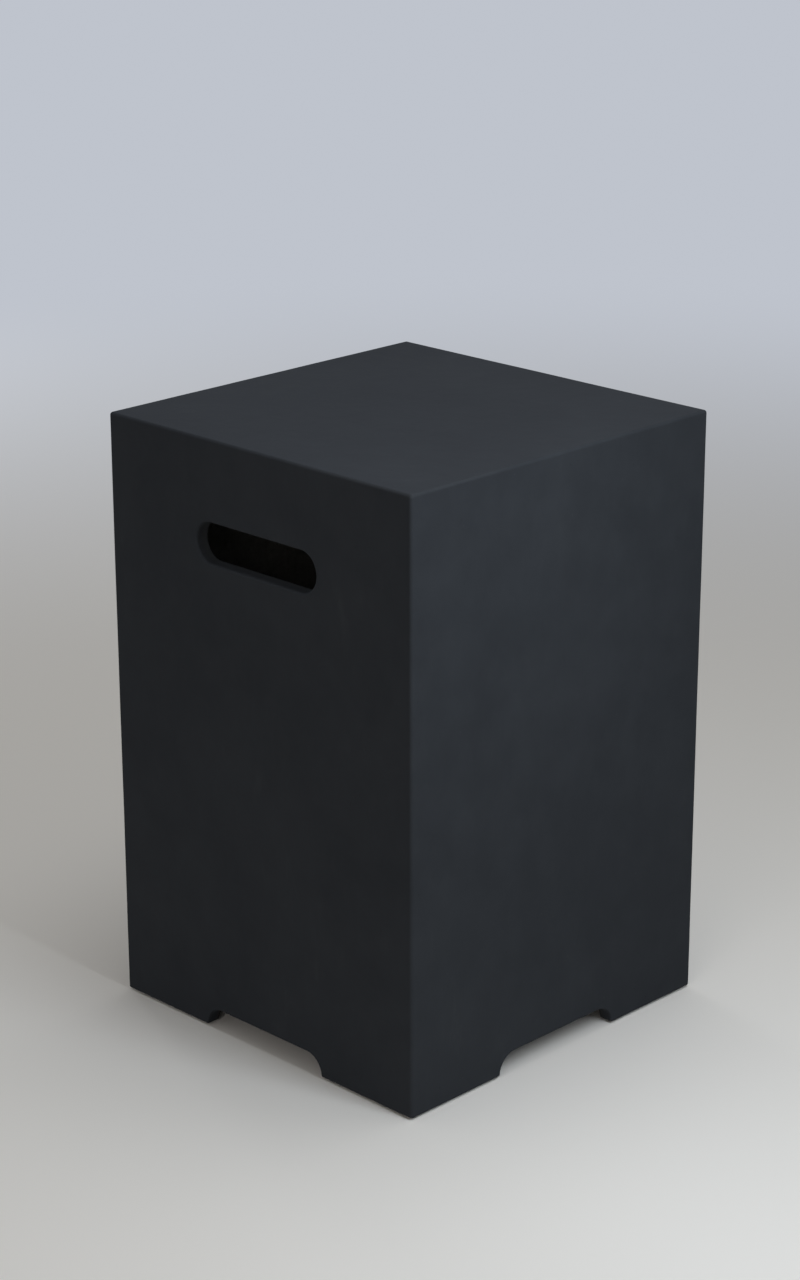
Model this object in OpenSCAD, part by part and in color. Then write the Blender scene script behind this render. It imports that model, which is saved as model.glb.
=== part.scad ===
// Cover for an upright gas bottle beside a patio table: one cast shell, open below, with a hand slot
// in the front and the back and a hose notch in the foot of each wall. Millimetres, +Z up, origin on
// the ground under the middle of the cover, and the front faces -Y.

/* [Cover] */
// Width between the left and right faces
cover_w = 400; // [360:5:480]
// Depth between the front and back faces
cover_d = 400; // [360:5:480]
// Height of the top face above the ground
cover_h = 600; // [520:5:720]
// Rounding of the four upright edges
upright_edge_r = 3; // [3:0.5:9]
// Rounding of the edges round the top face
top_edge_r = 3; // [1:0.5:3]
// Rounding of the outer edge of every slot, notch and of the rim
opening_edge_r = 1.5; // [0.5:0.5:3]

/* [Cast walls] */
// Thickness of the four walls
wall_t = 12; // [10:0.5:13]
// Thickness of the top
top_t = 14; // [10:0.5:20]
// Rounding inside the corners and under the top
cove_r = 12; // [8:1:18]
// Thickness of the walls in the band round the open foot
rim_t = 15; // [14:0.5:18]
// Height of the thickened band above the rim
rim_band_h = 45; // [30:1:55]

/* [Hand slots] */
// Length of a hand slot
slot_l = 160; // [110:5:190]
// Height of a hand slot
slot_h = 40; // [30:1:50]
// Distance from the top face down to the middle of a hand slot
slot_drop = 100; // [80:5:140]
// Thickness of the wall in the frame round a hand slot
slot_frame_t = 15; // [14:0.5:18]
// Width of the frame round a hand slot
slot_frame_w = 24; // [14:1:34]

/* [Hose notches] */
// Length of a hose notch
notch_l = 160; // [100:5:180]
// Height of a hose notch above the rim
notch_h = 20; // [12:1:26]

/* [Corner bosses] */
// Radius of a corner boss about the outer corner of the cover
boss_r = 60; // [56:1:68]
// Height of a corner boss above the rim, up to the start of its slope
boss_h = 40; // [38:1:55]

/* [Feet] */
// Distance from the middle of a foot to each of the two outer faces beside it
foot_inset = 27; // [26:0.5:28]
// How far a pad stands out below the rim
foot_proud = 2; // [1:0.5:4]
// Diameter of a rubber pad at its seat
pad_d = 28; // [24:1:29]
// Diameter of a rubber pad at its sole
pad_sole_d = 26; // [22:1:28]
// Height of a rubber pad
pad_h = 8; // [7:0.5:12]
// Rubber between the washer and the seat
pad_web = 3; // [2:0.5:3.5]
// Clearance round a pad in its recess
pad_clearance = 0.8; // [0.3:0.1:1.2]
// Diameter of the washer in a pad
washer_d = 15; // [12:0.5:17]
// Thickness of the washer
washer_t = 1.2; // [0.8:0.1:1.5]
// Clearance round the washer and round the screw's shank
fit_clearance = 0.3; // [0.2:0.05:0.5]
// Diameter of the foot screw
screw_d = 5; // [4:0.5:5]
// Length of the foot screw under its head
screw_l = 28; // [24:1:30]
// Diameter of the foot screw's head
screw_head_d = 9.4; // [8:0.2:10.4]
// Height of the foot screw's head
screw_head_h = 2.6; // [2:0.1:2.8]
// Diameter of the nylon plug in a boss
plug_d = 9; // [8:0.5:11]
// Length of the nylon plug
plug_l = 30; // [28:1:32]
// Diameter of the collar at the mouth of the plug
plug_collar_d = 13; // [12:0.5:15]
// Thickness of that collar
plug_collar_t = 1.2; // [0.8:0.1:2]

/* [Reinforcing mesh] */
// Thickness of the glass-fibre mesh bedded on the inside
mesh_t = 1.2; // [0.8:0.1:2]
// Gap between the edge of one mesh sheet and the next form
mesh_gap = 2; // [1:0.5:5]
// Bond of slurry between the mesh and the shell
mesh_bond = 0.3; // [0.1:0.05:0.5]

/* [Hidden] */
$fn = 96;
CORNERS = ["back_right", "back_left", "front_left", "front_right"];
CORNER_SIGNS = [[1, 1], [-1, 1], [-1, -1], [1, -1]];
WALLS = ["front", "right", "back", "left"];
SLOTTED_WALLS = [0, 2];

// How far a cut runs past the face that it opens
overcut = 1;
// Press of the plug in its hole, left as a hair of clearance in the solids
press_gap = 0.05;
// Barbs along the nylon plug, and how deep the grooves between them are
plug_barbs = 5;
plug_groove = 0.8;
// Plastic closing the inner end of the plug's bore
plug_end_t = 2;
// Length of the pointed end of a foot screw
screw_point_l = 5;
// Cross recess in the head of a foot screw
recess_l = 4.6;
recess_w = 1.1;
recess_deep = 1.4;

rim_z = foot_proud;
top_under_z = cover_h - top_t;
slot_z = cover_h - slot_drop;
seat_z = pad_h;
washer_seat_z = seat_z - pad_web;
head_seat_z = washer_seat_z - washer_t;
slope = rim_t - wall_t;
frame_rise = slot_frame_t - wall_t;

function half_span(k) = (k % 2 == 0 ? cover_d : cover_w) / 2;
function corner(k) = [CORNER_SIGNS[k].x * cover_w / 2, CORNER_SIGNS[k].y * cover_d / 2];
function foot(k) = corner(k) - foot_inset * CORNER_SIGNS[k];

// Distance from the outer corner to the middle of the rounding inside that corner, where the slope
// of the boss dies away, and the height at which it does
corner_reach = (wall_t + cove_r) * sqrt(2) - cove_r;
boss_top_z = rim_z + boss_h + boss_r - corner_reach;
mesh_low_z = max(boss_top_z, rim_z + rim_band_h + slope) + mesh_gap;
cove_z = top_under_z - cove_r;

// Half section of a rounded block, from the axis of its corner out to r and from z0 up to z1.
module block_section(r, z0, z1, top_r) {
    difference() {
        translate([0, z0]) square([r, z1 - z0]);
        translate([r - top_r, z1 - top_r]) difference() {
            square(top_r + overcut);
            circle(top_r);
        }
    }
}

// Draws a half section (the child) out along one pair of sides, with a slab from z0 to z1 between.
module drawn_pair(across, along, z0, z1) {
    rotate([90, 0, 0]) linear_extrude(along, center = true) {
        for (side = [0, 1]) mirror([side, 0]) translate([across / 2, 0]) children();
        translate([-across / 2, z0]) square([across, z1 - z0]);
    }
}

// A block with a rounded plan. Its half section (the child) is turned round the four corner axes,
// which stand span apart, and drawn out along the sides between them.
module rounded_block(span, z0, z1) {
    for (k = [0:3])
        translate([CORNER_SIGNS[k].x * span.x / 2, CORNER_SIGNS[k].y * span.y / 2, 0])
            rotate(90 * k) rotate_extrude(angle = 90) children();
    drawn_pair(span.x, span.y, z0, z1) children();
    rotate(90) drawn_pair(span.y, span.x, z0, z1) children();
}

// Distance between the corner axes of a block whose faces lie inset from the cover's outer faces.
function span_at(inset, r) = [cover_w, cover_d] - 2 * (inset + r) * [1, 1];

// The waste off a convex lower edge, with the middle of its rounding at the origin.
module lower_edge_waste() {
    difference() {
        translate([0, -opening_edge_r - overcut]) square(opening_edge_r + overcut);
        circle(opening_edge_r);
    }
}

module outer_block() {
    rounded_block(span_at(0, upright_edge_r), rim_z, cover_h)
        difference() {
            block_section(upright_edge_r, rim_z, cover_h, min(top_edge_r, upright_edge_r));
            translate([upright_edge_r - opening_edge_r, rim_z + opening_edge_r])
                lower_edge_waste();
        }
}

// The hollow before the bosses and frames: as wide as the walls leave it, rounded under the top,
// and drawn in by a short slope to the thicker band round the foot.
module plain_hollow() {
    band_z = rim_z + rim_band_h;
    rounded_block(span_at(wall_t, cove_r), rim_z - overcut, top_under_z) {
        union() {
            block_section(cove_r, band_z + slope, top_under_z, cove_r);
            polygon([[0, band_z], [cove_r - slope, band_z],
                     [cove_r, band_z + slope], [0, band_z + slope]]);
            translate([0, rim_z - overcut])
                square([cove_r - slope, band_z - rim_z + overcut]);
            translate([cove_r - slope + opening_edge_r, rim_z + opening_edge_r])
                mirror([1, 0]) lower_edge_waste();
        }
    }
}

// A long round-ended form: its half section (the child, radius against depth) is turned half round
// at both ends and drawn out between them.
module long_form(reach) {
    for (side = [-1, 1])
        translate([side * reach, 0, 0]) rotate(-90 * side) rotate_extrude(angle = 180) children();
    rotate([90, 0, 90]) linear_extrude(2 * reach, center = true) {
        children();
        mirror([1, 0]) children();
    }
}

// Places a form on a wall: X runs along the wall and Z goes in through it.
module on_wall(k, z) {
    rotate(90 * k) translate([0, -half_span(k), z]) rotate([-90, 0, 0]) children();
}

// Cuts a round-ended opening right through a wall, with its outer edge rounded.
module opening(length, height, through) {
    r = height / 2;
    long_form(length / 2 - r) difference() {
        union() {
            translate([0, -overcut]) square([r, through + 2 * overcut]);
            translate([0, -overcut]) square([r + opening_edge_r, opening_edge_r + overcut]);
        }
        translate([r + opening_edge_r, opening_edge_r]) circle(opening_edge_r);
    }
}

// The frame that thickens a wall round its hand slot, with a sloped edge.
module slot_frame() {
    r = slot_h / 2 + slot_frame_w;
    long_form((slot_l - slot_h) / 2)
        polygon([[0, wall_t - overcut], [r + frame_rise, wall_t - overcut], [r + frame_rise, wall_t],
                 [r, slot_frame_t], [0, slot_frame_t]]);
}

// A corner boss: upright from the rim, then sloping back at 45 degrees into the corner.
module corner_boss(k) {
    translate([corner(k).x, corner(k).y, 0]) rotate_extrude()
        polygon([[0, rim_z - 2 * overcut], [boss_r, rim_z - 2 * overcut], [boss_r, rim_z + boss_h],
                 [0, rim_z + boss_h + boss_r]]);
}

module hollow() {
    difference() {
        plain_hollow();
        for (k = [0:3]) corner_boss(k);
        for (k = SLOTTED_WALLS) on_wall(k, slot_z) slot_frame();
    }
}

// The seat of a foot in the rim, and the stepped hole above it for the nylon plug.
module foot_seat(k) {
    translate([foot(k).x, foot(k).y, 0]) {
        translate([0, 0, rim_z - overcut])
            cylinder(r = pad_d / 2 + pad_clearance, h = seat_z - rim_z + overcut);
        translate([0, 0, seat_z - overcut])
            cylinder(r = plug_collar_d / 2 + press_gap, h = plug_collar_t + overcut);
        translate([0, 0, seat_z]) cylinder(r = plug_d / 2 + press_gap, h = plug_l);
    }
}

module shell() {
    color("#3a3c40") difference() {
        outer_block();
        hollow();
        for (k = SLOTTED_WALLS) on_wall(k, slot_z) opening(slot_l, slot_h, slot_frame_t);
        for (k = [0:3]) on_wall(k, rim_z) opening(notch_l, 2 * notch_h, rim_t);
        for (k = [0:3]) foot_seat(k);
    }
}

// The mesh under the top, turned down all round over the rounding there.
module mesh_top() {
    r = cove_r - mesh_bond;
    color("#8d8a80")
        rounded_block(span_at(wall_t, cove_r), top_under_z - mesh_bond - mesh_t,
                      top_under_z - mesh_bond)
            translate([0, cove_z]) intersection() {
                difference() {
                    circle(r);
                    circle(r - mesh_t);
                }
                square(cove_r + overcut);
            }
}

// A flat mesh sheet on one wall, cut out round the frame of a hand slot.
module mesh_wall(k) {
    across = 2 * (half_span(k + 1) - wall_t - cove_r);
    tall = cove_z - mesh_gap - mesh_low_z;
    color("#96938a") rotate(90 * k) translate([0, -half_span(k) + wall_t + mesh_bond, 0]) rotate([90, 0, 0])
        translate([0, 0, -mesh_t]) linear_extrude(mesh_t) difference() {
            translate([-across / 2, mesh_low_z]) square([across, tall]);
            if (k % 2 == 0) translate([0, slot_z]) {
                r = slot_h / 2 + slot_frame_w + frame_rise + mesh_gap;
                reach = (slot_l - slot_h) / 2;
                for (side = [-1, 1]) translate([side * reach, 0]) circle(r);
                square([2 * reach, 2 * r], center = true);
            }
        }
}

// A strip of mesh bent into one upright corner, between the sheets on the two walls.
module mesh_strip(k) {
    r = cove_r - mesh_bond;
    span = span_at(wall_t, cove_r);
    color("#8a877d")
        translate([CORNER_SIGNS[k].x * span.x / 2, CORNER_SIGNS[k].y * span.y / 2, mesh_low_z])
            rotate(90 * k) rotate_extrude(angle = 90)
                translate([r - mesh_t, 0]) square([mesh_t, cove_z - mesh_gap - mesh_low_z]);
}

// A rubber pad, tapered to its sole and counterbored for the washer and the screw's head.
module foot_pad(k) {
    color("#17181a") translate([foot(k).x, foot(k).y, 0]) difference() {
        cylinder(r1 = pad_sole_d / 2, r2 = pad_d / 2, h = pad_h);
        translate([0, 0, -overcut])
            cylinder(r = washer_d / 2 + fit_clearance, h = washer_seat_z + overcut);
        cylinder(r = screw_d / 2 + fit_clearance, h = pad_h + overcut);
    }
}

module foot_washer(k) {
    color("#b9bcc0") translate([foot(k).x, foot(k).y, head_seat_z]) difference() {
        cylinder(r = washer_d / 2, h = washer_t);
        translate([0, 0, -overcut])
            cylinder(r = screw_d / 2 + fit_clearance, h = washer_t + 2 * overcut);
    }
}

// A domed screw that holds the pad, driven up through the washer into the plug.
module foot_screw(k) {
    straight = screw_l - screw_point_l;
    dome_r = (pow(screw_head_d / 2, 2) + pow(screw_head_h, 2)) / (2 * screw_head_h);
    color("#c6c9cc") translate([foot(k).x, foot(k).y, head_seat_z]) difference() {
        union() {
            rotate_extrude() intersection() {
                translate([0, dome_r - screw_head_h]) circle(dome_r);
                translate([0, -screw_head_h]) square([screw_head_d, screw_head_h]);
            }
            cylinder(r = screw_d / 2 - press_gap, h = straight);
            translate([0, 0, straight])
                cylinder(r1 = screw_d / 2 - press_gap, r2 = screw_d / 8, h = screw_point_l);
        }
        for (turn = [0, 90]) rotate(turn)
            translate([-recess_l / 2, -recess_w / 2, -screw_head_h - overcut])
                cube([recess_l, recess_w, recess_deep + overcut]);
    }
}

// A barbed nylon plug, cast into the boss, with a collar that lies flush in the seat.
module foot_plug(k) {
    barb_l = (plug_l - plug_collar_t) / plug_barbs;
    r = plug_d / 2;
    barbs = [for (i = [0:plug_barbs - 1]) each [
        [r, plug_collar_t + i * barb_l],
        [r - plug_groove, plug_collar_t + (i + 1) * barb_l]]];
    outline = concat([[0, 0], [plug_collar_d / 2, 0], [plug_collar_d / 2, plug_collar_t]],
                     barbs, [[0, plug_l]]);
    color("#d8d5cc") translate([foot(k).x, foot(k).y, seat_z]) difference() {
        rotate_extrude() polygon(outline);
        translate([0, 0, -overcut]) cylinder(r = screw_d / 2, h = plug_l - plug_end_t + overcut);
    }
}

shell();
mesh_top();
for (k = [0:3]) {
    mesh_wall(k);
    mesh_strip(k);
    foot_pad(k);
    foot_washer(k);
    foot_screw(k);
    foot_plug(k);
}
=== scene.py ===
import math

import bmesh
import bpy
import numpy as np
from mathutils import Matrix, Vector


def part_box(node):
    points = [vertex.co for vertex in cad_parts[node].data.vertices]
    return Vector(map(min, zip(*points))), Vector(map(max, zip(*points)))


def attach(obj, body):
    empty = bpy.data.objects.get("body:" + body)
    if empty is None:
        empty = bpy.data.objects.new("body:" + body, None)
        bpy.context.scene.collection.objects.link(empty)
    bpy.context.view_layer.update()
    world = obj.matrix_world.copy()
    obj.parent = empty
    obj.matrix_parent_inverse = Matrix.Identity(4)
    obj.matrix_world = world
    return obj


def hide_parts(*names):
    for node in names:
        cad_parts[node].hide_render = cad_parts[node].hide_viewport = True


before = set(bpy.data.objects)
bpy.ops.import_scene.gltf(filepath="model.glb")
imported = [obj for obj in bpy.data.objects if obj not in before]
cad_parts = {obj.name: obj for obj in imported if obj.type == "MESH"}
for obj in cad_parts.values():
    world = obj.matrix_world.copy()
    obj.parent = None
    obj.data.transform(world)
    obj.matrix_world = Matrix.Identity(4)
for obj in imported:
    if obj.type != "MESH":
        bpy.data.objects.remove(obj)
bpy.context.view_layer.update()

# Shapes are worked out in millimetres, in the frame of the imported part, and become metres in
# make_piece. The front wall faces -Y, and the walls are counted anticlockwise from it.
MM = 0.001
shell_low, shell_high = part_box("shell")
HALF = shell_high.x / MM
TOP_Z = shell_high.z / MM
RIM_Z = shell_low.z / MM
WALLS = ["front", "right", "back", "left"]
CORNERS = {"back_right": (1, 1), "back_left": (-1, 1),
           "front_left": (-1, -1), "front_right": (1, -1)}

# The cast shell
EDGE_R = 3.0
LIP_R = 1.5
INNER_LIP_R = 1.2
WALL_T = 12.0
TOP_T = 14.0
COVE_R = 12.0
RIM_T = 15.0
BAND_TOP = RIM_Z + 45.0
SLOT_REACH = 60.0
SLOT_R = 20.0
SLOT_LIP_R = 2.5
SLOT_Z = TOP_Z - 100.0
FRAME_T = 15.0
FRAME_W = 24.0
NOTCH_REACH = 60.0
NOTCH_R = 20.0
NOTCH_FOOT_R = 1.7
BOSS_R = 60.0
BOSS_TOP = RIM_Z + 40.0
BOSS_FILLET = 6.0
FOOT_AT = HALF - 27.0

# The feet
PAD_R = 14.0
PAD_SOLE_R = 13.0
PAD_H = 8.0
PAD_WEB = 3.0
SEAT_R = 14.8
SEAT_BEVEL = 0.5
WASHER_R = 7.5
WASHER_T = 1.2
FIT = 0.3
SCREW_R = 2.45
SCREW_L = 28.0
SCREW_HEAD_R = 4.7
SCREW_HEAD_H = 2.6
PLUG_R = 4.55
PLUG_L = 30.0
COLLAR_R = 6.55
COLLAR_T = 1.2
GRIP_RINGS = 3
GRIP_FROM_BORE = 1.4
GRIP_FROM_EDGE = 1.5
GRIP_DEPTH = 0.5
GRIP_MOUTH = 0.45
GRIP_FLOOR = 0.25
CROSS_REACH = 2.3
CROSS_HALF_W = 0.5
CROSS_DEPTH = 1.3
CROSS_END_SOFT = 0.06
CROSS_SIDE_SOFT = 0.05
THREAD_PITCH = 1.8
THREAD_DEPTH = 0.45
THREAD_START = 2.0
THREAD_ROW = 0.3
POINT_L = 5.0

# The reinforcing mesh
SHEET_BOND = 0.3
SHEET_LOW = 82.0
SHEET_HIGH = TOP_Z - TOP_T - COVE_R - 2.0
SHEET_GAP = 2.0
PITCH = 10.0
YARN_R = 1.1
YARN_T = 0.7
YARN_DIP = 0.25
CROSSING_T = 0.1
SLURRY_T = 0.25
SLURRY_UNEVEN = 0.1
LEAST_STEP = 0.3


# Light and camera

CAMERA_AT = (1.9362, -1.9665, 1.3287)
CAMERA_AZIMUTH = 44.73
CAMERA_ELEVATION = 19.14
CAMERA_ROLL = -0.11
CAMERA_LENS = 84.83
SENSOR = 36.0


def add_camera():
    """Stands the camera where the photograph was taken from. Azimuth 0 looks along +Y."""
    data = bpy.data.cameras.new("camera")
    data.lens, data.sensor_width = CAMERA_LENS, SENSOR
    data.clip_start, data.clip_end = 0.05, 100.0
    camera = bpy.data.objects.new("camera", data)
    bpy.context.scene.collection.objects.link(camera)
    azimuth, elevation = math.radians(CAMERA_AZIMUTH), math.radians(CAMERA_ELEVATION)
    view = Vector((-math.sin(azimuth) * math.cos(elevation),
                   math.cos(azimuth) * math.cos(elevation), -math.sin(elevation)))
    turn = view.to_track_quat("-Z", "Y").to_matrix().to_4x4()
    roll = Matrix.Rotation(math.radians(CAMERA_ROLL), 4, "Z")
    camera.matrix_world = Matrix.Translation(CAMERA_AT) @ turn @ roll
    bpy.context.scene.camera = camera


def add_lamp(name, at, towards, width, height, power, tint=(1.0, 1.0, 1.0)):
    """Hangs a soft lamp at a place, turned towards a point and unseen by the camera itself. A
    tint makes its light a little cooler or warmer."""
    data = bpy.data.lights.new(name, "AREA")
    data.color = tint
    data.shape, data.size, data.size_y, data.energy = "RECTANGLE", width, height, power
    lamp = bpy.data.objects.new(name, data)
    lamp.visible_camera = False
    bpy.context.scene.collection.objects.link(lamp)
    aim = Vector(towards) - Vector(at)
    lamp.matrix_world = (Matrix.Translation(at)
                         @ aim.to_track_quat("-Z", "Y").to_matrix().to_4x4())


# Shader maths

class Value:
    """A number, colour or shader that comes out of a node, with the operators used below."""

    def __init__(self, nodes, socket):
        self.nodes, self.socket = nodes, socket

    def maths(self, operation, *given):
        return self.nodes.node("ShaderNodeMath", {"operation": operation},
                               dict(enumerate(given)))

    def __add__(self, other):
        return self.maths("ADD", self, other)

    def __sub__(self, other):
        return self.maths("SUBTRACT", self, other)

    def __rsub__(self, other):
        return self.maths("SUBTRACT", other, self)

    def __mul__(self, other):
        return self.maths("MULTIPLY", self, other)

    def __abs__(self):
        return self.maths("ABSOLUTE", self)

    def root(self):
        return self.maths("SQRT", self)

    def least(self, other):
        return self.maths("MINIMUM", self, other)

    def most(self, other):
        return self.maths("MAXIMUM", self, other)

    def step(self, low, high):
        """0 where the value is at low, 1 at high and a smooth change between. Low may be the
        larger of the two."""
        return self.nodes.node("ShaderNodeMapRange", {"interpolation_type": "SMOOTHSTEP"},
                               {"Value": self, "From Min": low, "From Max": high})

    __radd__, __rmul__ = __add__, __mul__


class Nodes:
    """A node tree, with one way to make any node in it."""

    def __init__(self, tree):
        self.tree = tree
        tree.nodes.clear()

    def node(self, kind, settings=None, sockets=None, out=0):
        """Makes a node of a kind, sets its settings, fills its sockets with numbers, colours or
        other nodes' values, and gives the value that comes out."""
        node = self.tree.nodes.new(kind)
        for name, setting in (settings or {}).items():
            setattr(node, name, setting)
        for name, given in (sockets or {}).items():
            self.fill(node.inputs[name], given)
        return Value(self, node.outputs[out] if node.outputs else None)

    def fill(self, socket, given):
        """Links a value to a socket, or writes a number or colour on it."""
        if isinstance(given, Value):
            self.tree.links.new(given.socket, socket)
        elif socket.type == "RGBA":
            socket.default_value = (*given[:3], 1.0)
        else:
            socket.default_value = given

    def axes(self, place):
        """The three parts of a vector."""
        return [self.node("ShaderNodeSeparateXYZ", sockets={"Vector": place}, out=axis)
                for axis in "XYZ"]

    def mix(self, share, first, second):
        """Goes from the first colour to the second as share goes from 0 to 1."""
        return self.node("ShaderNodeMix", {"data_type": "RGBA"},
                         {"Factor": share, 6: first, 7: second}, out=2)

    def blend(self, share, first, second):
        """Goes from the first shader to the second as share goes from 0 to 1."""
        return self.node("ShaderNodeMixShader", {}, {0: share, 1: first, 2: second})

    def seen(self):
        """1 for a ray that shows the background: straight from the camera, or through gloss or
        glass."""
        rays = [self.node("ShaderNodeLightPath", out="Is " + kind + " Ray")
                for kind in ("Camera", "Glossy", "Transmission")]
        return rays[0].most(rays[1]).most(rays[2])


class Finish(Nodes):
    """The node tree of one material, with a Principled shader at its end."""

    def __init__(self, name, metallic=0.0, specular=0.5):
        self.material = bpy.data.materials.new(name)
        self.material.use_nodes = True
        super().__init__(self.material.node_tree)
        self.shader = self.tree.nodes.new("ShaderNodeBsdfPrincipled")
        self.fill(self.shader.inputs["Metallic"], metallic)
        self.fill(self.shader.inputs["Specular IOR Level"], specular)
        self.node("ShaderNodeOutputMaterial",
                  sockets={"Surface": Value(self, self.shader.outputs[0])})
        self.place = self.node("ShaderNodeTexCoord", out="Object")

    def stretched(self, x, y, z):
        """Object coordinates with each axis drawn out or in."""
        return self.node("ShaderNodeMapping", sockets={"Vector": self.place, "Scale": (x, y, z)})

    def noise(self, scale, detail=2.0, rough=0.5, at=None):
        """Cloudy noise about 0, with scale bumps to the metre."""
        return self.node("ShaderNodeTexNoise", {},
                         {"Vector": at or self.place, "Scale": scale, "Detail": detail,
                          "Roughness": rough}, out="Fac") - 0.5

    def dots(self, scale, radius, share):
        """1 inside small round dots of a radius in metres, in a share of the cells of a
        scatter that has scale cells to the metre."""
        cells = {"Vector": self.place, "Scale": scale}
        reach = self.node("ShaderNodeTexVoronoi", {}, cells, out="Distance")
        colour = self.node("ShaderNodeTexVoronoi", {}, cells, out="Color")
        chosen = self.node("ShaderNodeSeparateColor", sockets={"Color": colour}, out="Red")
        return (reach.step(1.3 * radius * scale, 0.6 * radius * scale)
                * chosen.step(1 - share, 1 - 0.8 * share))

    def bump(self, height, distance, under=None):
        """Raises the surface by height times distance, in metres, over what is under it."""
        sockets = {"Height": height, "Distance": distance, "Strength": 1.0}
        if under is not None:
            sockets["Normal"] = under
        return self.node("ShaderNodeBump", {}, sockets, out="Normal")

    def made(self, colour, rough, surface):
        """The finished material."""
        self.fill(self.shader.inputs["Base Color"], colour)
        self.fill(self.shader.inputs["Roughness"], rough)
        self.fill(self.shader.inputs["Normal"], surface)
        return self.material


# Stage

FLOOR_SHADE = (0.88, 0.875, 0.86)
FLOOR_BOUNCE = (0.38, 0.35, 0.31)
BACKDROP = (0.52, 0.55, 0.61)
AMBIENT = (0.254, 0.247, 0.234)
FLOOR_REACH = 14.0
FADE_FROM, FADE_TO = 0.8, 3.4


def light_the_air():
    """A dim even sky for the object, which the camera sees as the pale backdrop."""
    world = bpy.data.worlds.new("air")
    bpy.context.scene.world = world
    world.use_nodes = True
    sky = Nodes(world.node_tree)
    shade = sky.mix(sky.seen(), AMBIENT, BACKDROP)
    air = sky.node("ShaderNodeBackground", {}, {"Color": shade, "Strength": 1.0})
    sky.node("ShaderNodeOutputWorld", sockets={"Surface": air})


def lay_floor():
    """A plain pale floor, a square of four quads with its middle under the object. It takes the
    object's shadow, fades into the backdrop with distance and can be seen through from below."""
    material = bpy.data.materials.new("floor_plain")
    material.use_nodes = True
    floor = Nodes(material.node_tree)
    x, y, _ = floor.axes(floor.node("ShaderNodeTexCoord", out="Object"))
    away = (x * x + y * y).root()
    plain = floor.node("ShaderNodeBsdfDiffuse", {},
                       {"Color": floor.mix(floor.seen(), FLOOR_BOUNCE, FLOOR_SHADE)})
    far = floor.node("ShaderNodeEmission", {}, {"Color": BACKDROP, "Strength": 1.0})
    open_below = floor.node("ShaderNodeBsdfTransparent", {}, {})
    behind = floor.node("ShaderNodeNewGeometry", out="Backfacing")
    top = floor.blend(away.step(FADE_FROM, FADE_TO) * floor.seen(), plain, far)
    floor.node("ShaderNodeOutputMaterial",
               sockets={"Surface": floor.blend(behind, top, open_below)})
    side = np.array([-FLOOR_REACH, 0.0, FLOOR_REACH])
    x, y = np.meshgrid(side, side)
    mesh = bpy.data.meshes.new("floor")
    mesh.from_pydata(np.stack([x, y, 0 * x], -1).reshape(-1, 3).tolist(), [],
                     grid_quads(3, 3, False).tolist())
    mesh.materials.append(material)
    ground = bpy.data.objects.new("floor", mesh)
    bpy.context.scene.collection.objects.link(ground)


# Finishes

CHARCOAL = (0.0246, 0.0285, 0.0345)
CHARCOAL_PALE = (0.0338, 0.0388, 0.0462)
CHALK_AND_PAINTED_LIGHT = (0.085, 0.090, 0.096)
SLURRY = (0.050, 0.051, 0.052)
# Painted shade in the pinholes
PORE_SHADE = (0.010, 0.011, 0.012)
SCRIM = (0.115, 0.113, 0.106)
SCRIM_PALE = (0.205, 0.200, 0.186)
SCRIM_WET = (0.070, 0.070, 0.068)
RUBBER = (0.010, 0.010, 0.011)
RUBBER_DUST = (0.040, 0.038, 0.035)
ZINC = (0.62, 0.62, 0.61)
ZINC_DULL = (0.36, 0.36, 0.36)
STAINLESS = (0.66, 0.64, 0.61)
STAINLESS_DULL = (0.40, 0.39, 0.37)
NYLON = (0.60, 0.58, 0.52)
NYLON_SMEAR = (0.30, 0.30, 0.29)

# The casting's finish: distances in metres, how much each noise counts in its tone, and how far
# each mark goes towards the pale chalk colour: the chalky smears and specks are real marks, while
# the top edge's highlight and the light in the slots' sleeves are painted light
SKIN_DEPTH = (0.008, 0.0115)
SLEEVE_DEEPER = 0.006
# Painted light in the slots' sleeves grows stronger between these depths, towards the inner lip
SLEEVE_LIGHT_DEPTHS = (0.005, 0.014)
EDGE_REACH = 0.005
# Painted highlight: the top edge is painted paler near the front corner, fading out over these
# distances from it
EDGE_HIGHLIGHT_REACH = (0.17, 0.08)
CLOUDY, PATCHY, WISPY, MID_TONE = 1.7, 1.6, 0.5, 0.40
# The first number is for real chalky smears; the second is the strength of the painted highlight
# on the top edge
SMEARED, EDGE_HIGHLIGHT = 0.16, 0.10
SPECKED, SPECKED_EDGE = 0.15, 0.6
# Painted light in the slots' sleeves: paler all through them, and more deep in and on the inner
# lip as a painted highlight
SLEEVE_LIGHT, SLEEVE_LIGHT_DEEP = 0.13, 0.26


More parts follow.
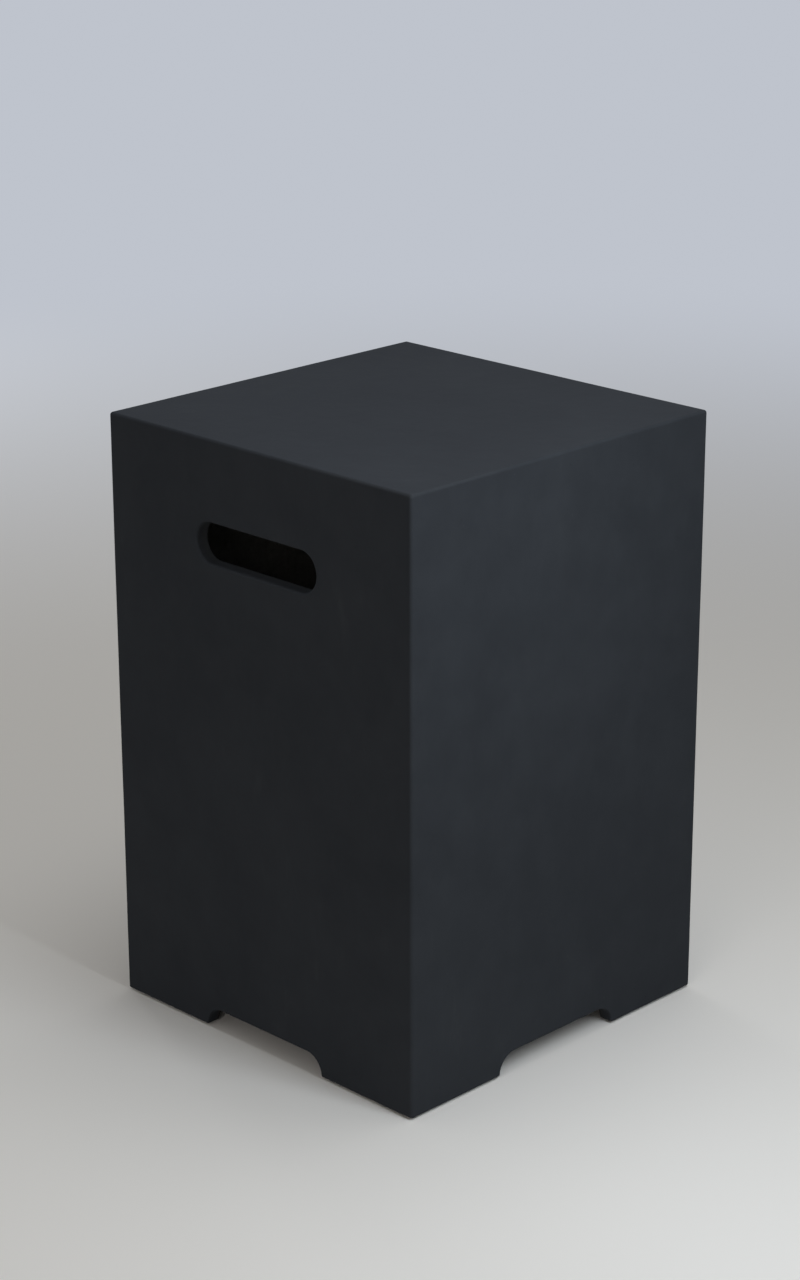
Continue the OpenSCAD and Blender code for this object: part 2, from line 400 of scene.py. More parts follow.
def cast_finish():
    """Smooth matt charcoal casting: cloudy tone with faint chalky smears and specks, a painted
    highlight along the top edge near the front corner, painted light in the slots' sleeves that
    is strongest deep in them and on the inner lip, pinholes darkened with painted shade, and a
    rougher, fibrous inside that begins at a depth of SKIN_DEPTH."""
    finish = Finish("cast_charcoal", specular=0.15)
    x, y, z = finish.axes(finish.place)
    from_sides = [HALF * MM - abs(x), HALF * MM - abs(y)]
    from_top = TOP_Z * MM - z
    depth = from_sides[0].least(from_sides[1]).least(from_top)
    lip = (SLOT_R + SLOT_LIP_R) * MM
    slot_end = (HALF - SLOT_REACH - SLOT_R) * MM
    sleeve = (abs(z - SLOT_Z * MM).step(lip, lip - 0.001)
              * from_sides[0].step(slot_end - 0.010, slot_end - 0.002)
              * from_sides[1].step(0.001, 0.003))
    inside = (depth - sleeve * SLEEVE_DEEPER).step(*SKIN_DEPTH)
    near = [gap.step(EDGE_REACH, 0.0) for gap in (*from_sides, from_top)]
    top_edge = (near[0] + near[1] + near[2] - 1.0).step(0.0, 1.0) * near[2]
    from_corner = (HALF * MM - x).most(HALF * MM + y)

    clouds = finish.noise(scale=7.0, detail=3.0)
    patches = finish.noise(scale=24.0, detail=4.0, rough=0.6)
    wisps = finish.noise(scale=38.0, detail=5.0, rough=0.65, at=finish.stretched(1.0, 1.0, 0.3))
    fibres = finish.noise(scale=160.0, detail=3.0, rough=0.7)
    grain = finish.noise(scale=1100.0, detail=3.0, rough=0.6)
    pits = finish.dots(scale=120.0, radius=0.0005, share=0.14)
    dots = finish.dots(scale=70.0, radius=0.0008, share=0.03)
    smears = wisps.step(0.06, 0.30) * clouds.step(-0.02, 0.16) * SMEARED
    # Painted highlight along the top edge, strongest at the front corner, standing for light
    # caught by the edge's rounding
    painted_highlight = top_edge * from_corner.step(*EDGE_HIGHLIGHT_REACH) * EDGE_HIGHLIGHT
    specks = dots * (near[2] * SPECKED_EDGE + SPECKED)
    # Painted light in the slots' sleeves: paler against the shade in them, most deep in and on
    # the inner lip
    painted_sleeve_light = sleeve * (depth.step(*SLEEVE_LIGHT_DEPTHS) * SLEEVE_LIGHT_DEEP + SLEEVE_LIGHT)
    tone = clouds * CLOUDY + patches * PATCHY + wisps * WISPY + MID_TONE
    colour = finish.mix(tone, CHARCOAL, CHARCOAL_PALE)
    # Chalky smears and specks, with the painted highlight on the top edge and the painted light
    # in the slots' sleeves, all go towards the pale chalk colour
    colour = finish.mix(smears + painted_highlight + specks + painted_sleeve_light, colour, CHALK_AND_PAINTED_LIGHT)
    colour = finish.mix(inside * (fibres + 0.55), colour, SLURRY)
    # Pinholes darkened with painted shade
    colour = finish.mix(pits * (1 - inside) * 0.5, colour, PORE_SHADE)

    surface = finish.bump(finish.noise(scale=60.0), distance=0.00035)
    surface = finish.bump(grain, distance=0.00006, under=surface)
    surface = finish.bump(pits * -1.0, distance=0.0004, under=surface)
    surface = finish.bump(fibres * inside, distance=0.0016, under=surface)
    rough = patches * 0.16 + clouds * 0.08 + inside * 0.1 + 0.80
    return finish.made(colour, rough, surface)


def scrim_finish():
    """Glass-fibre mesh wetted out with grey slurry: blotchy, fibrous and dull."""
    finish = Finish("glass_scrim", specular=0.4)
    blots = finish.noise(scale=20.0, detail=4.0, rough=0.6)
    fibres = finish.noise(scale=260.0, detail=3.0, rough=0.7)
    colour = finish.mix(blots * 1.6 + 0.5, SCRIM, SCRIM_PALE)
    colour = finish.mix(fibres.step(0.02, 0.2) * 0.5, colour, SCRIM_WET)
    surface = finish.bump(fibres, distance=0.0008)
    surface = finish.bump(finish.noise(scale=900.0), distance=0.0002, under=surface)
    return finish.made(colour, blots * 0.2 + 0.66, surface)


def rubber_finish():
    """Black moulded rubber, dusty grey in patches, with a fine moulded grain."""
    finish = Finish("pad_rubber_black", specular=0.4)
    dust = finish.noise(scale=140.0, detail=4.0, rough=0.6)
    colour = finish.mix(dust.step(-0.05, 0.35) * 0.6, RUBBER, RUBBER_DUST)
    grain = finish.bump(finish.noise(scale=2600.0), distance=0.0001)
    return finish.made(colour, dust * 0.2 + 0.72, grain)


def metal_finish(name, tint, dull):
    """Bright steel with fine scratches and dull spots."""
    finish = Finish(name, metallic=1.0)
    spots = finish.noise(scale=420.0, detail=3.0, rough=0.6)
    scratches = finish.noise(scale=1400.0, at=finish.stretched(1.0, 0.08, 1.0))
    colour = finish.mix(spots.step(0.0, 0.3) * 0.5, tint, dull)
    return finish.made(colour, spots * 0.25 + scratches * 0.12 + 0.34,
                       finish.bump(scratches, distance=0.00004))


def nylon_finish():
    """Natural nylon, milky, with grey cement smears."""
    finish = Finish("plug_nylon_natural", specular=0.5)
    smear = finish.noise(scale=300.0, detail=4.0, rough=0.6)
    colour = finish.mix(smear.step(0.0, 0.25) * 0.6, NYLON, NYLON_SMEAR)
    return finish.made(colour, smear * 0.3 + 0.42, finish.bump(smear, distance=0.0002))


# Surfaces

# Points closer than MERGE, in metres, become one. A swell is made of SWELL_WAVES waves, and each
# kind of piece has its own seed for it.
MERGE = 2e-6
SWELL_WAVES = 30
SWELL_LENGTHS = (70.0, 260.0)
SWELL_GAIN = 3.5
SHELL_SEED = 7
WALL_SEED = 40
STRIP_SEED = 50
TOP_SEED = 60


def grid_quads(rows, columns, closed=True, keep=None):
    """Corner numbers of the quads of a grid whose points are counted along its rows. In a
    closed grid the last column meets the first. Keep picks the quads that stay."""
    row = np.arange(rows - 1)[:, None] * columns
    column = np.arange(columns if closed else columns - 1)[None, :]
    after = (column + 1) % columns
    corners = np.broadcast_arrays(row + column, row + after,
                                  row + columns + after, row + columns + column)
    quads = np.stack(corners, -1).reshape(-1, 4)
    return quads if keep is None else quads[keep.ravel()]


class Surface:
    """Grids of points that meet along shared edges, to be sewn into one closed skin."""

    def __init__(self, *grids):
        self.points, self.quads, self.count = [], [], 0
        for grid in grids:
            self.add(grid)

    def add(self, points, closed=True, keep=None):
        """Adds a grid shaped rows by columns by 3."""
        self.take(points.reshape(-1, 3), grid_quads(*points.shape[:2], closed, keep))

    def take(self, points, quads):
        """Takes points and quads, leaving out points that no quad uses."""
        used, number = np.unique(quads, return_inverse=True)
        self.points.append(points[used])
        self.quads.append(number.reshape(quads.shape) + self.count)
        self.count += len(used)


def backed(front, back, keep=None):
    """A sheet of two open grids that face each other, closed round every edge of the quads that
    stay: an edge that only one quad has gets a quad that joins it to its copy behind."""
    quads = grid_quads(*front.shape[:2], False, keep)
    behind = front.shape[0] * front.shape[1]
    sides = np.concatenate([quads[:, [k, (k + 1) % 4]] for k in range(4)])
    _, number, times = np.unique(np.sort(sides, 1), axis=0, return_inverse=True,
                                 return_counts=True)
    start, end = sides[times[number.ravel()] == 1].T
    rim = np.stack([end, start, start + behind, end + behind], -1)
    sheet = Surface()
    sheet.take(np.concatenate([front.reshape(-1, 3), back.reshape(-1, 3)]),
               np.concatenate([quads, quads[:, ::-1] + behind, rim]))
    return sheet


def make_piece(name, surface, material, slot, *nodes):
    """Makes an object of a surface: points that lie together are merged, which also closes the
    poles, and faces are turned outwards. It rides on the body and stands for its CAD nodes."""
    mesh = bpy.data.meshes.new(name)
    mesh.from_pydata((np.concatenate(surface.points) * MM).tolist(), [],
                     np.concatenate(surface.quads).tolist())
    shape = bmesh.new()
    shape.from_mesh(mesh)
    bmesh.ops.remove_doubles(shape, verts=shape.verts, dist=MERGE)
    bmesh.ops.recalc_face_normals(shape, faces=shape.faces)
    if shape.calc_volume(signed=True) < 0:
        bmesh.ops.reverse_faces(shape, faces=shape.faces)
    shape.to_mesh(mesh)
    shape.free()
    mesh.shade_smooth()
    mesh.materials.append(material)
    piece = bpy.data.objects.new(name, mesh)
    bpy.context.scene.collection.objects.link(piece)
    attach(piece, "root")
    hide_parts(*nodes)


def quarter(steps):
    """Angles of a quarter turn in even steps."""
    return np.linspace(0, np.pi / 2, steps + 1)


def spun(points, quarters):
    """Turns points from the front wall round Z by a number of quarter turns."""
    cos, sin = np.array([1, 0, -1, 0])[quarters], np.array([0, 1, 0, -1])[quarters]
    x, y, z = np.moveaxis(points, -1, 0)
    return np.stack([x * cos - y * sin, x * sin + y * cos, z + 0 * x], -1)


def swell(points, seed):
    """A smooth unevenness from -1 to 1: the mean of plane waves with random directions, lengths
    and phases, times SWELL_GAIN and clipped."""
    draw = np.random.default_rng(seed)
    direction = draw.normal(size=(SWELL_WAVES, 3))
    direction /= np.linalg.norm(direction, axis=1)[:, None]
    length = draw.uniform(*SWELL_LENGTHS, SWELL_WAVES)
    phase = draw.uniform(0, 2 * np.pi, SWELL_WAVES)
    waves = np.sin(points @ (direction * (2 * np.pi / length)[:, None]).T + phase)
    return np.clip(waves.mean(-1) * SWELL_GAIN, -1, 1)


class Columns:
    """Columns that stand round a square plan with rounded corners: stations along each wall,
    then steps round the corner at its end."""

    def __init__(self, stations, corner_steps):
        angle = quarter(corner_steps)[1:-1]
        self.stations = stations
        self.along = np.tile(np.r_[stations, np.full(len(angle), stations[-1])], 4)
        self.angle = np.tile(np.r_[np.zeros(len(stations)), angle], 4)
        self.wall = np.repeat(np.arange(4), len(stations) + len(angle))

    def drawn(self, along, reach, kept=0.0):
        """Stations drawn in or out so that the last one comes to reach. Those up to kept from
        the middle stay where they are."""
        size = np.abs(along)
        spread = (reach - kept) / (self.stations[-1] - kept)
        return np.sign(along) * np.where(size > kept, kept + (size - kept) * spread, size)

    def ring(self, half, radius, z, kept=0.0):
        """One closed row at height z, on a square of a half width and corner radius."""
        reach = half - radius
        x = self.drawn(self.along, reach, kept) + radius * np.sin(self.angle)
        y = -(reach + radius * np.cos(self.angle))
        return spun(np.stack([x, y, np.full(len(x), z)], -1), self.wall)


# The cast shell

# The grids' own sizes: the windows that the slots' sleeves fill, the stretch of each wall whose
# columns stay upright, where the notch's two rounds end along it, the height up to which the
# hollow's rows lie closer, how far from an edge the row beside it lies, how far along a slope
# its end rows lie, and half the depth of the casting's unevenness.
WINDOW_X = 112.0
WINDOW_DROP = 54.0
KEPT = 142.0
ARC_END = 92.0
FOOT_END = 100.0
CLOSE_ROWS_TOP = 92.0
SUPPORT = 0.6
SLOPE_IN = 0.4
UNEVEN = 0.1


def wall_stations():
    """Stations from end to end of a wall. The middle ones feed the notch's crown, the next its
    round end, the next the small rounding where that meets the rim, and the rest the rim."""
    half = np.r_[np.linspace(0, NOTCH_REACH, 11), np.linspace(NOTCH_REACH, ARC_END, 9)[1:],
                 np.linspace(ARC_END, FOOT_END, 5)[1:], np.linspace(FOOT_END, WINDOW_X, 3)[1:],
                 np.linspace(WINDOW_X, KEPT, 6)[1:],
                 np.linspace(KEPT, HALF - EDGE_R - SUPPORT, 12)[1:], HALF - EDGE_R]
    return np.r_[-half[:0:-1], half]


def lower_outline(along):
    """Where each column ends below, before the lip is rounded: position along the wall, height,
    and the way into the casting in the wall's plane. From the middle it follows the level crown
    of the notch, a quarter round of NOTCH_R, an opposite round of NOTCH_FOOT_R and the rim."""
    size = np.abs(along)
    lift = math.asin(NOTCH_FOOT_R / (NOTCH_R + NOTCH_FOOT_R))
    foot_x = NOTCH_REACH + (NOTCH_R + NOTCH_FOOT_R) * math.cos(lift)
    arc = np.interp(size, [NOTCH_REACH, ARC_END], [np.pi / 2, lift])
    foot = np.interp(size, [ARC_END, FOOT_END], [lift, np.pi / 2])
    parts = [size <= NOTCH_REACH, size <= ARC_END, size <= FOOT_END, size <= KEPT]
    x = np.select(parts, [size, NOTCH_REACH + NOTCH_R * np.cos(arc),
                          foot_x - NOTCH_FOOT_R * np.cos(foot),
                          np.interp(size, [FOOT_END, KEPT], [foot_x, KEPT])], size)
    z = np.select(parts, [NOTCH_R + 0 * size, NOTCH_R * np.sin(arc),
                          NOTCH_FOOT_R * (1 - np.sin(foot)), 0 * size], 0.0)
    in_x = np.select(parts, [0 * size, np.cos(arc), np.cos(foot), 0 * size], 0.0)
    in_z = np.select(parts, [1 + 0 * size, np.sin(arc), np.sin(foot), 1 + 0 * size], 1.0)
    side = np.sign(along)
    return x * side, RIM_Z + z, in_x * side, in_z


def inward(ring):
    """The way in, level and square to a closed row that runs anticlockwise."""
    run = np.roll(ring, -1, 0) - np.roll(ring, 1, 0)
    way = np.stack([-run[:, 1], run[:, 0], 0 * run[:, 0]], -1)
    return way / np.linalg.norm(way, axis=1)[:, None]


def pushed_by_boss(points):
    """Pushes points of the hollow's wall off the outer corner, to the radius that the boss
    there has at their height. Within BOSS_FILLET of that radius the two are blended by adding
    (BOSS_FILLET - difference) squared over 4 BOSS_FILLET."""
    boss = BOSS_R - np.maximum(points[..., 2] - BOSS_TOP, 0)
    corner = HALF * np.where(points[..., :2] < 0, -1, 1)
    away = points[..., :2] - corner
    distance = np.linalg.norm(away, axis=-1)
    apart = np.clip(BOSS_FILLET - np.abs(distance - boss), 0, None)
    reach = np.maximum(distance, boss) + np.where(boss > 0, apart ** 2 / (4 * BOSS_FILLET), 0)
    return np.concatenate([corner + away * (reach / distance)[..., None], points[..., 2:]], -1)


def hollow_ring(columns, z):
    """One row of the hollow's wall before the bosses: thick in the band round the foot, then
    drawn back at 45 degrees to the thinner wall."""
    rise = min(max(z - BAND_TOP, 0.0), RIM_T - WALL_T)
    return columns.ring(HALF - RIM_T + rise, COVE_R - (RIM_T - WALL_T) + rise, z, KEPT)


def slot_sleeve(columns, window_z, wall):
    """The grid from the window left in the outer wall in to the slot's rounded lip, through the
    wall, over the inner lip and the sloped frame, and out to the window in the inner wall.
    Each point of the window goes to the nearest point of the slot's outline: its middle line
    runs between -SLOT_REACH and SLOT_REACH, and each row lies at a reach off that line."""
    x = columns.stations[np.abs(columns.stations) <= WINDOW_X]
    side_z = window_z[1:-1]
    loop_x = np.r_[x, np.full(len(side_z), x[-1]), x[::-1], np.full(len(side_z), x[0])]
    loop_z = np.r_[np.full(len(x), window_z[0]), side_z, np.full(len(x), window_z[-1]),
                   side_z[::-1]]
    core = np.clip(loop_x, -SLOT_REACH, SLOT_REACH)
    window = np.hypot(loop_x - core, loop_z - SLOT_Z)
    way_x, way_z = (loop_x - core) / window, (loop_z - SLOT_Z) / window
    lip, inner, edge = SLOT_R + SLOT_LIP_R, SLOT_R + INNER_LIP_R, SLOT_R + FRAME_W
    foot = edge + FRAME_T - WALL_T
    rows = [(window + (lip + SUPPORT - window) * share, 0.0) for share in (0, 0.25, 0.5, 0.75, 1)]
    rows += [(lip - SLOT_LIP_R * math.sin(a), SLOT_LIP_R * (1 - math.cos(a)))
             for a in quarter(6)]
    rows += [(SLOT_R, depth) for depth in (SLOT_LIP_R + SUPPORT, FRAME_T / 2,
                                           FRAME_T - INNER_LIP_R - SUPPORT)]
    rows += [(inner - INNER_LIP_R * math.cos(a), FRAME_T - INNER_LIP_R * (1 - math.sin(a)))
             for a in quarter(5)]
    rows += [(inner + SUPPORT, FRAME_T), ((inner + edge) / 2, FRAME_T), (edge - 1, FRAME_T),
             (edge + SLOPE_IN, FRAME_T - SUPPORT), (foot - SLOPE_IN, WALL_T + SUPPORT),
             (foot + 1, WALL_T), (window, WALL_T)]
    grid = [np.stack([core + way_x * reach, np.full(len(core), depth - HALF),
                      SLOT_Z + way_z * reach], -1) for reach, depth in rows]
    return spun(np.array(grid), wall)


def outside_windows(columns, rows_z):
    """Which quads of a wall grid stay when the windows for the two hand slots are left out."""
    after = np.roll(columns.along, -1)
    across = (after > columns.along) & (np.abs(columns.along + after) < 2 * WINDOW_X)
    level = np.abs(rows_z[1:] + rows_z[:-1] - 2 * SLOT_Z) < 2 * WINDOW_DROP
    return ~(level[:, None] & (across & (columns.wall % 2 == 0))[None, :])


def foot_recess(loop, wall):
    """The grid from the loop round one corner's sole in to the round seat of its pad, up the
    seat, in to the plug's collar and up the plug's hole to its closed end. Each point of the
    loop goes straight towards the middle of the foot."""
    middle = spun(np.array([FOOT_AT, -FOOT_AT, 0.0]), wall)[:2]
    away = loop[:, :2] - middle
    distance = np.linalg.norm(away, axis=1)
    way = away / distance[:, None]
    mouth = SEAT_R + SEAT_BEVEL
    rows = [(distance + (mouth - distance) * share, RIM_Z) for share in (0, 0.5, 0.95, 1)]
    rows += [(SEAT_R, RIM_Z + SEAT_BEVEL), (SEAT_R, PAD_H), (COLLAR_R, PAD_H),
             (COLLAR_R, PAD_H + COLLAR_T), (PLUG_R, PAD_H + COLLAR_T), (PLUG_R, PAD_H + PLUG_L),
             (0.0, PAD_H + PLUG_L)]
    return np.array([np.column_stack([middle + way * np.reshape(reach, (-1, 1)),
                                      np.full(len(loop), z)]) for reach, z in rows])


def cast_shell():
    """The whole casting as one skin: outer walls and top, the rim with its notches and pad
    seats, the hollow with its band, bosses and coves, and the two slots through it. A slow
    unevenness of up to twice UNEVEN draws it in towards its middle."""
    columns = Columns(wall_stations(), 8)
    on_wall = (np.abs(columns.along) < KEPT)[:, None]
    window_z = np.linspace(SLOT_Z - WINDOW_DROP, SLOT_Z + WINDOW_DROP, 21)
    edge_z, cove_z = TOP_Z - EDGE_R, TOP_Z - TOP_T - COVE_R
    skin = Surface()

    x, z, in_x, in_z = lower_outline(columns.along)
    into = spun(np.stack([in_x, 0 * in_x, in_z], -1), columns.wall)
    wide = columns.ring(HALF, EDGE_R, RIM_Z)
    narrow = hollow_ring(columns, RIM_Z)
    outer = np.where(on_wall, spun(np.stack([x, 0 * x - HALF, z], -1), columns.wall), wide)
    plain = np.where(on_wall, spun(np.stack([x, 0 * x - HALF + RIM_T, z], -1), columns.wall),
                     narrow)
    inner = pushed_by_boss(plain)
    way_in, way_out = inward(wide), -inward(pushed_by_boss(narrow))
    lip = np.array([outer + into * LIP_R * (1 - math.sin(a)) + way_in * LIP_R * (1 - math.cos(a))
                    for a in quarter(5)])
    inner_lip = np.array([inner + into * INNER_LIP_R * (1 - math.cos(a))
                          + way_out * INNER_LIP_R * (1 - math.sin(a)) for a in quarter(4)])
    skin.add(lip)
    skin.add(inner_lip)
    strip = np.array([lip[-1], inner_lip[0]])
    after = np.roll(columns.along, -1)
    sole = (columns.along >= KEPT - SUPPORT) | (after <= SUPPORT - KEPT)
    skin.add(strip, keep=~sole[None, :])
    for wall in range(4):
        first = np.flatnonzero((columns.wall == wall) & sole & (columns.along > 0))[0]
        numbers = np.arange(first, first + 1 + np.count_nonzero(sole) // 4) % len(sole)
        skin.add(foot_recess(np.concatenate([strip[0][numbers], strip[1][numbers[::-1]]]), wall))

    shares = np.r_[0, 0.02, np.linspace(0, 1, 8)[1:]][:, None, None]
    skin.add(lip[0] + (columns.ring(HALF, EDGE_R, BAND_TOP) - lip[0]) * shares)
    rows_z = np.r_[np.linspace(BAND_TOP, window_z[0], 64)[:-1], window_z,
                   np.linspace(window_z[-1], edge_z - SUPPORT, 8)[1:], edge_z]
    skin.add(np.array([columns.ring(HALF, EDGE_R, height) for height in rows_z]),
             keep=outside_windows(columns, rows_z))
    skin.add(np.array([columns.ring(HALF - EDGE_R * (1 - math.cos(a)), EDGE_R * math.cos(a),
                                    edge_z + EDGE_R * math.sin(a)) for a in quarter(6)]))
    top_x, top_y = np.meshgrid(columns.stations, columns.stations)
    skin.add(np.stack([top_x, top_y, np.full_like(top_x, TOP_Z)], -1), closed=False)

    low = plain + into * INNER_LIP_R
    band = low + (hollow_ring(columns, BAND_TOP - SUPPORT) - low) * shares
    skin.add(pushed_by_boss(band))
    slope_h = RIM_T - WALL_T
    slope_z = BAND_TOP + np.array([-SUPPORT, SLOPE_IN, slope_h - SLOPE_IN, slope_h + SUPPORT])
    hollow_z = np.r_[slope_z, np.linspace(slope_z[-1], CLOSE_ROWS_TOP, 12)[1:],
                     np.linspace(CLOSE_ROWS_TOP, window_z[0], 54)[1:-1], window_z,
                     np.linspace(window_z[-1], cove_z, 4)[1:]]
    walls = np.array([hollow_ring(columns, height) for height in hollow_z])
    skin.add(pushed_by_boss(walls), keep=outside_windows(columns, hollow_z))
    for wall in (0, 2):
        skin.add(slot_sleeve(columns, window_z, wall))
    skin.add(np.array([columns.ring(HALF - WALL_T - COVE_R * (1 - math.cos(a)),
                                    COVE_R * math.cos(a), cove_z + COVE_R * math.sin(a), KEPT)
                       for a in quarter(6)]))
    under = columns.drawn(columns.stations, HALF - WALL_T - COVE_R, KEPT)
    under_x, under_y = np.meshgrid(under, under)
    skin.add(np.stack([under_x, under_y, np.full_like(under_x, TOP_Z - TOP_T)], -1),
             closed=False)

    middle = np.array([0.0, 0.0, TOP_Z / 2])
    skin.points = [grid + (middle - grid) / (HALF, HALF, TOP_Z / 2)
                   * (UNEVEN + UNEVEN * swell(grid, SHELL_SEED))[:, None]
                   for grid in skin.points]
    return skin


# The feet

def lathe(profile, at, steps=64):
    """Turns a profile of radius and height round an upright axis."""
    turn = np.linspace(0, 2 * np.pi, steps, endpoint=False)
    radius, height = np.array(profile, float).T[:, :, None]
    return np.stack([at[0] + radius * np.cos(turn), at[1] + radius * np.sin(turn),
                     height + 0 * turn], -1)


def softened(corners, steps=3):
    """A closed profile with each corner replaced by an even curve that starts and ends at that
    corner's cut: a quadratic through the two ends, drawn towards the corner. Each corner is
    given as its radius, height and cut."""
    corner, cut = np.split(np.array(corners, float), [2], 1)
    cut = cut[:, None]
    before, after = np.roll(corner, 1, 0) - corner, np.roll(corner, -1, 0) - corner
    before /= np.linalg.norm(before, axis=1)[:, None]
    after /= np.linalg.norm(after, axis=1)[:, None]
    share = np.linspace(0, 1, steps + 1)[None, :, None]
    curve = (corner[:, None] + before[:, None] * cut * (1 - share) ** 2
             + after[:, None] * cut * share ** 2).reshape(-1, 2)
    return np.vstack([curve, curve[:1]])


def foot_pad(at):
    """A rubber pad: tapered, with soft edges, grip rings in its sole, and the counterbore and
    hole for the washer and screw."""
    bore, hole = WASHER_R + FIT, SCREW_R + FIT
    web_z = PAD_H - PAD_WEB
    corners = [(bore, 0, 0.3)]
    for radius in np.linspace(bore + GRIP_FROM_BORE, PAD_SOLE_R - GRIP_FROM_EDGE, GRIP_RINGS):
        corners += [(radius - GRIP_MOUTH, 0, 0.1), (radius - GRIP_FLOOR, GRIP_DEPTH, 0.1),
                    (radius + GRIP_FLOOR, GRIP_DEPTH, 0.1), (radius + GRIP_MOUTH, 0, 0.1)]
    corners += [(PAD_SOLE_R, 0, 0.8), (PAD_R, PAD_H, 0.6), (hole, PAD_H, 0.2),
                (hole, web_z, 0.2), (bore, web_z, 0.2)]
    return Surface(lathe(softened(corners), at, 96))


def foot_washer(at):
    """A flat washer with its edges broken."""
    high = PAD_H - PAD_WEB
    low, hole = high - WASHER_T, SCREW_R + FIT
    corners = [(hole, low, 0.12), (WASHER_R, low, 0.25), (WASHER_R, high, 0.12),
               (hole, high, 0.12)]
    return Surface(lathe(softened(corners), at))


def foot_screw(at):
    """A domed screw, head down, with a cross recess. The recess is as deep as the larger of
    two crossed bars, each a product of two logistic curves. The shank's radius falls and rises
    once in each THREAD_PITCH, shifted with the angle, which makes the thread, and dies away to
    a point over POINT_L."""
    turn = np.linspace(0, 2 * np.pi, 48, endpoint=False)
    seat = PAD_H - PAD_WEB - WASHER_T
    dome = (SCREW_HEAD_R ** 2 + SCREW_HEAD_H ** 2) / (2 * SCREW_HEAD_H)
    radius = np.r_[0, np.linspace(0.3, SCREW_HEAD_R * 0.97, 20), SCREW_HEAD_R][:, None]
    x, y = radius * np.cos(turn), radius * np.sin(turn)
    drop = np.sqrt(dome ** 2 - radius ** 2) - (dome - SCREW_HEAD_H)

    def bar(long, short):
        return (1 / (1 + np.exp((np.abs(long) - CROSS_REACH) / CROSS_END_SOFT))
                / (1 + np.exp((np.abs(short) - CROSS_HALF_W) / CROSS_SIDE_SOFT)))

    head = np.stack([x, y, seat - drop + CROSS_DEPTH * np.maximum(bar(x, y), bar(y, x))], -1)
    rise = np.r_[np.arange(0.0, SCREW_L - POINT_L, THREAD_ROW),
                 np.linspace(SCREW_L - POINT_L, SCREW_L, 18)][:, None]
    wave = np.abs((rise / THREAD_PITCH - turn / (2 * np.pi)) % 1 - 0.5) * 2
    shank = ((SCREW_R - THREAD_DEPTH * wave * np.clip(rise / THREAD_START, 0, 1))
             * np.clip((SCREW_L - rise) / POINT_L, 0, 1))
    body = np.stack([shank * np.cos(turn), shank * np.sin(turn), seat + rise + 0 * turn], -1)
    return Surface(np.concatenate([head, body]) + (at[0], at[1], 0.0))


# The reinforcing mesh

def weave_stations(low, high):
    """Stations along a sheet with a yarn every PITCH, both sides and the middle of each, and
    where the first yarn lies."""
    count = int((high - low) // PITCH)
    start = (low + high - count * PITCH) / 2
    inner = (start + PITCH * np.arange(count + 1)[:, None] + [-YARN_R, 0.0, YARN_R]).ravel()
    inner = inner[(inner > low + LEAST_STEP) & (inner < high - LEAST_STEP)]
    return np.r_[low, inner, high], start


def woven(along, up, start_along, start_up, seed):
    """Height of a sheet's face above its bed. A yarn is half an ellipse across, the two lots
    pass over and under each other in turn, and slurry of an uneven depth lies under them."""
    def yarn(across, start, other, other_start):
        number = np.round((across - start) / PITCH)
        off = (across - start) - number * PITCH
        body = np.sqrt(np.clip(1 - (off / YARN_R) ** 2, 0, 1))
        turn = np.pi * ((other - other_start) / PITCH + number)
        return body * (1 - YARN_DIP + YARN_DIP * np.cos(turn))

    warp = yarn(along, start_along, up, start_up)
    weft = yarn(up, start_up, along, start_along + PITCH)
    uneven = swell(np.stack([along, up, 0 * up], -1), seed)
    return (SLURRY_T + SLURRY_UNEVEN * uneven + YARN_T * np.maximum(warp, weft)
            + CROSSING_T * warp * weft)


def wall_sheet(wall):
    """A sheet of mesh on one wall. Round a hand slot's frame it is cut out: points inside the
    cut go out to its outline, and quads that lie wholly inside it are left out."""
    reach = HALF - WALL_T - COVE_R
    x, start_x = weave_stations(-reach, reach)
    z, start_z = weave_stations(SHEET_LOW, SHEET_HIGH)
    x, z = np.meshgrid(x, z)
    face = woven(x, z, start_x, start_z, WALL_SEED + wall)
    inside = np.zeros(x.shape, bool)
    if wall % 2 == 0:
        cut = SLOT_R + FRAME_W + FRAME_T - WALL_T + SHEET_GAP
        core = np.clip(x, -SLOT_REACH, SLOT_REACH)
        away = np.hypot(x - core, z - SLOT_Z)
        inside = away < cut
        grow = np.where(inside, cut / np.maximum(away, 0.1), 1.0)
        x, z = core + (x - core) * grow, SLOT_Z + (z - SLOT_Z) * grow
    bed = SHEET_BOND + WALL_T - HALF
    hidden = inside[:-1, :-1] & inside[1:, :-1] & inside[:-1, 1:] & inside[1:, 1:]
    grids = [spun(np.stack([x, bed + height, z], -1), wall) for height in (face, 0 * face)]
    return backed(*grids, keep=~hidden)


def corner_strip(sign):
    """A strip of mesh bent a quarter round into one upright corner."""
    axis, bed = HALF - WALL_T - COVE_R, COVE_R - SHEET_BOND
    length = bed * np.pi / 2
    arc, start_arc = weave_stations(0, length)
    z, start_z = weave_stations(SHEET_LOW, SHEET_HIGH)
    arc, z = np.meshgrid(arc, z)
    face = woven(arc, z, start_arc, start_z, STRIP_SEED)
    cos, sin = np.cos(arc / bed), np.sin(arc / bed)
    return backed(*[np.stack([sign[0] * (axis + (bed - height) * cos),
                              sign[1] * (axis + (bed - height) * sin), z], -1)
                    for height in (face, 0 * face)])


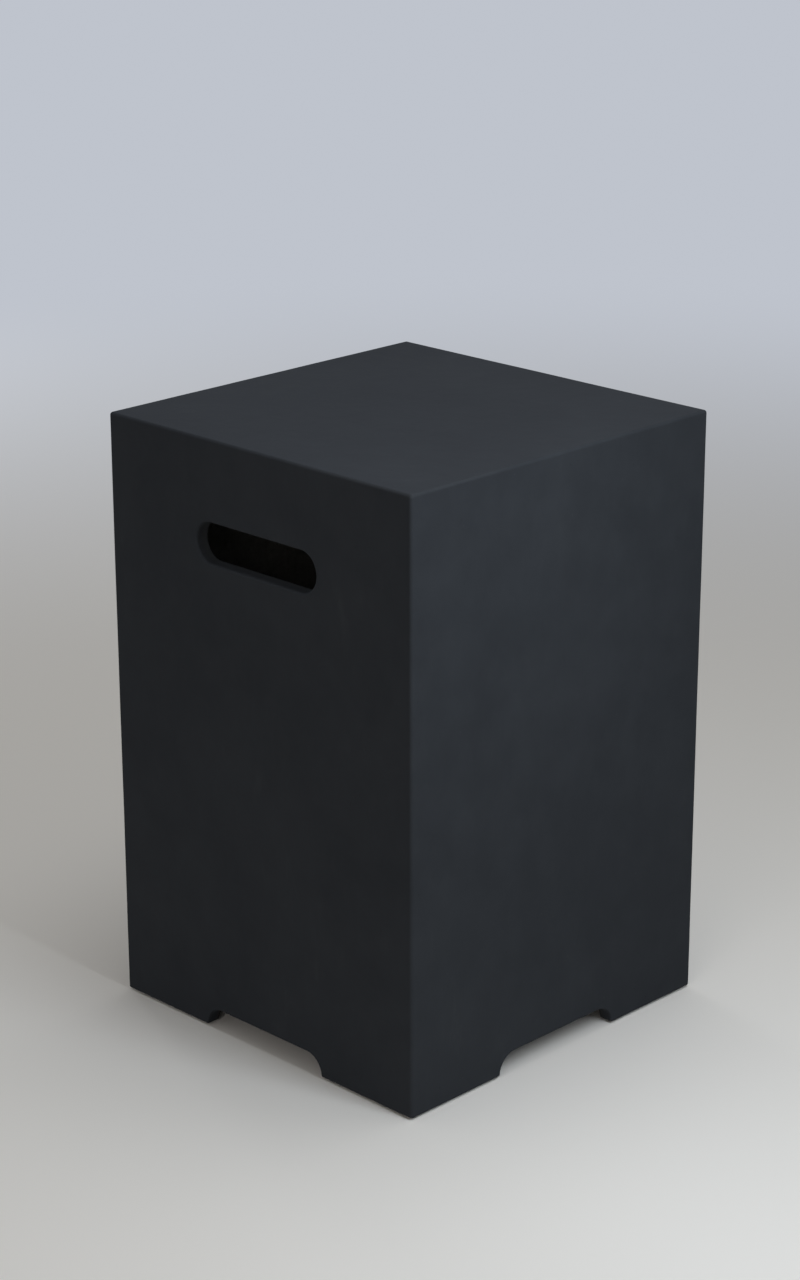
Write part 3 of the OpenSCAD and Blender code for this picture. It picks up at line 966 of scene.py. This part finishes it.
def top_sheet():
    """The mesh under the top, turned down all round over the cove. A point past the flat part
    goes round the cove by its distance from it; in a corner the larger of its two distances
    gives how far down it goes, and their ratio gives which way."""
    axis, bed = HALF - WALL_T - COVE_R, COVE_R - SHEET_BOND
    length = bed * np.pi / 2
    side, start = weave_stations(-axis - length, axis + length)
    u, v = np.meshgrid(side, side)
    face = woven(u, v, start, start, TOP_SEED)
    flat_x, flat_y = np.clip(u, -axis, axis), np.clip(v, -axis, axis)
    past_x, past_y = np.abs(u - flat_x), np.abs(v - flat_y)
    down = np.maximum(past_x, past_y) / bed
    part = np.minimum(past_x, past_y) / np.maximum(np.maximum(past_x, past_y), 1e-9)
    way = np.where(past_x >= past_y, part * np.pi / 4, np.pi / 2 - part * np.pi / 4)
    return backed(*[np.stack([flat_x + np.sign(u) * (bed - height) * np.sin(down) * np.cos(way),
                              flat_y + np.sign(v) * (bed - height) * np.sin(down) * np.sin(way),
                              TOP_Z - TOP_T - COVE_R + (bed - height) * np.cos(down)], -1)
                    for height in (face, 0 * face)])


# The cover in its studio

add_camera()
light_the_air()
add_lamp("overhead", at=(0.15, 0.25, 2.40), towards=(0.05, 0.05, 0.60),
         width=1.3, height=1.1, power=9.7)
add_lamp("side", at=(0.84, -0.13, 0.86), towards=(0.20, -0.13, 0.45),
         width=0.26, height=0.70, power=4.55, tint=(0.89, 0.95, 1.0))
add_lamp("front", at=(1.10, -2.30, 0.95), towards=(0.0, -0.2, 0.40),
         width=1.2, height=1.2, power=9.2, tint=(1.0, 0.92, 0.87))
add_lamp("back", at=(-3.50, 1.10, 0.50), towards=(0.0, 0.0, 0.30),
         width=0.55, height=0.55, power=20.0)
lay_floor()

make_piece("cast_shell", cast_shell(), cast_finish(), "cast_shell", "shell")
scrim = scrim_finish()
make_piece("scrim_top", top_sheet(), scrim, "glass_mesh", "mesh_top")
for wall, name in enumerate(WALLS):
    make_piece("scrim_" + name, wall_sheet(wall), scrim, "glass_mesh", "mesh_" + name)
rubber = rubber_finish()
washer_steel = metal_finish("washer_zinc", ZINC, ZINC_DULL)
screw_steel = metal_finish("screw_stainless", STAINLESS, STAINLESS_DULL)
nylon = nylon_finish()
for name, sign in CORNERS.items():
    at = (FOOT_AT * sign[0], FOOT_AT * sign[1])
    make_piece("scrim_strip_" + name, corner_strip(sign), scrim, "glass_mesh",
               "mesh_strip_" + name)
    make_piece("rubber_pad_" + name, foot_pad(at), rubber, "pad_rubber", "foot_pad_" + name)
    make_piece("pad_washer_" + name, foot_washer(at), washer_steel, "washer_steel",
               "foot_washer_" + name)
    make_piece("pad_screw_" + name, foot_screw(at), screw_steel, "screw_steel",
               "foot_screw_" + name)
    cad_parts["foot_plug_" + name].material_slots[0].material = nylon

bpy.context.scene.view_settings.view_transform = "Standard"
